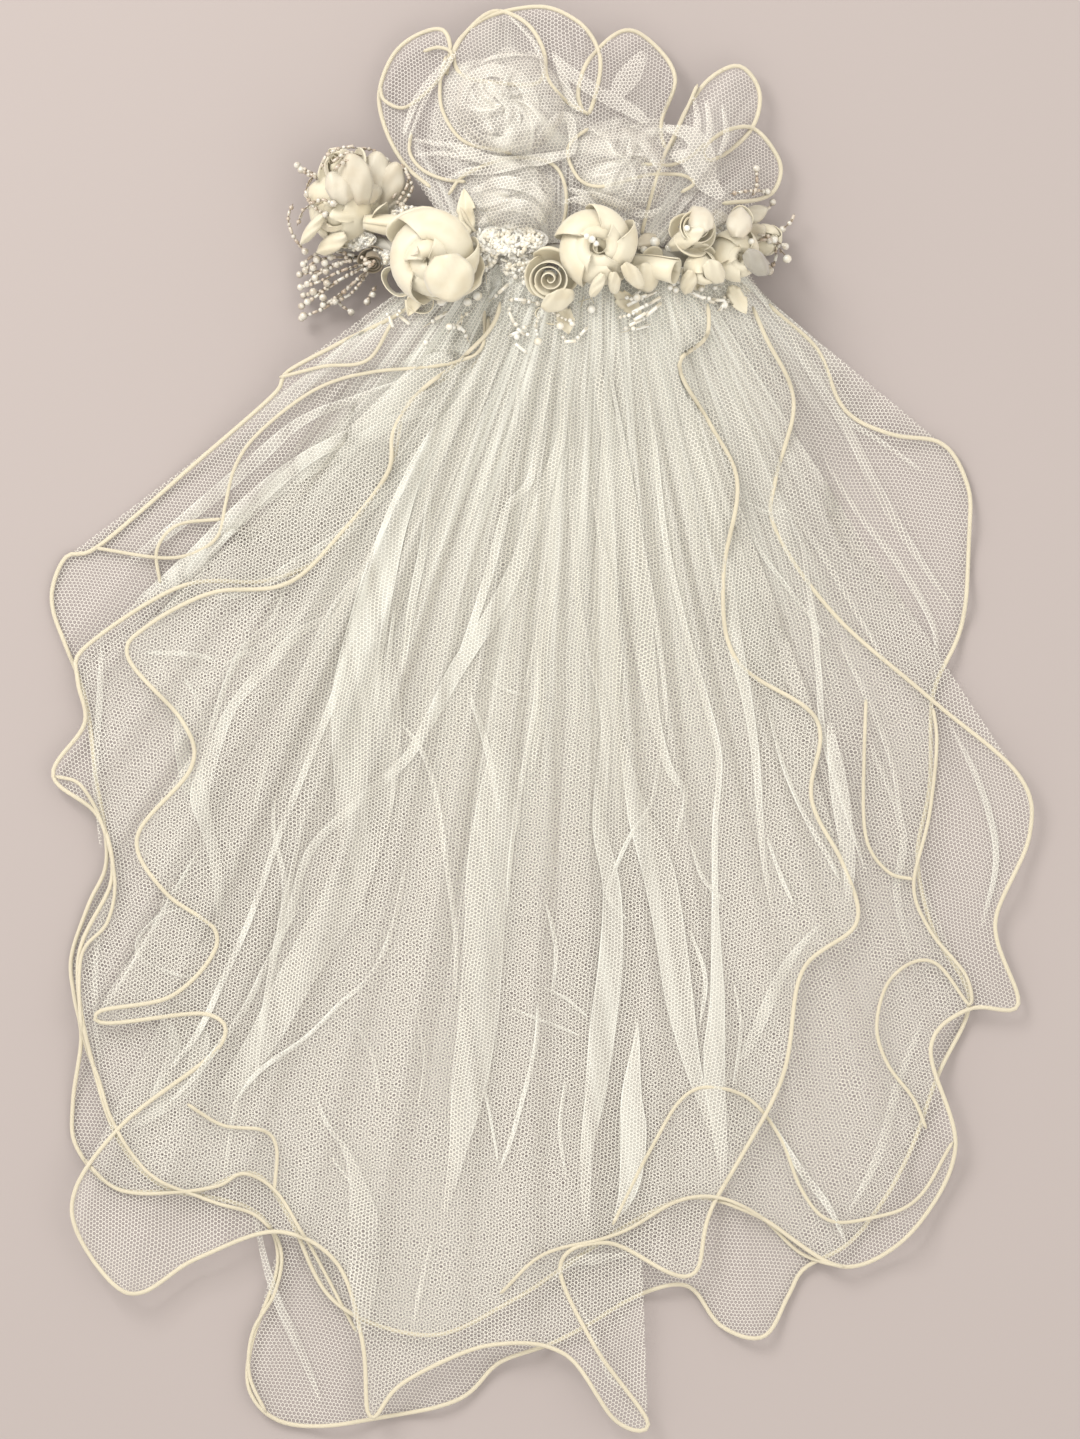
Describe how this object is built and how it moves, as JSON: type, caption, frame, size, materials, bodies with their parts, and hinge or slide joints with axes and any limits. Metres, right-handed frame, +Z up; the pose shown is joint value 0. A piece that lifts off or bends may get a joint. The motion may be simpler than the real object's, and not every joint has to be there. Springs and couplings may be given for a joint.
{
  "type": "bridal veil with a floral headband",
  "caption": "Bridal veil laid flat: an arched headband of satin roses and pearl sprays, a corded net pouf and gathered net tiers with rolled corded hems.",
  "frame": {"origin": "on the surface that the veil lies on, under the middle of its outline", "axes": "+Z up from the surface, +Y towards the pouf behind the headband, the veil's length along Y"},
  "size_m": [0.5463, 0.7939, 0.0925],
  "materials": {
    "net": "ivory nylon net with soft folds",
    "cord": "cream twisted cord",
    "satin": "ivory satin ribbon, soft sheen",
    "pearl": "pearl lustre beads",
    "binding": "ribbon bound wire, in shadow"
  },
  "bodies": {
    "root": {"headband": "binding", "hem_cord_bottom": "cord", "hem_cord_middle": "cord", "hem_cord_top": "cord", "leaf_right": "satin", "leaf_under_large": "satin", "leaf_under_open": "satin", "leaf_under_rolled": "satin", "leaf_upright": "satin", "pouf_cord": "cord", "pouf_loop_front": "net", "pouf_puff_left": "net", "pouf_puff_right": "net", "pouf_ruffle": "net", "rose_bud": "satin", "rose_large": "satin", "rose_left_bud": "satin", "rose_left_end": "satin", "rose_left_top": "satin", "rose_open": "satin", "rose_right": "satin", "rose_right_end": "satin", "rose_rolled": "satin", "rose_shadowed": "satin", "rose_small": "satin", "rose_tube": "satin", "spray_front_left": "pearl", "spray_front_middle": "pearl", "spray_front_right": "pearl", "spray_left_high": "pearl", "spray_left_low": "pearl", "spray_right": "pearl", "veil_tier_bottom": "net", "veil_tier_middle": "net", "veil_tier_top": "net"}
  },
  "joints": []
}
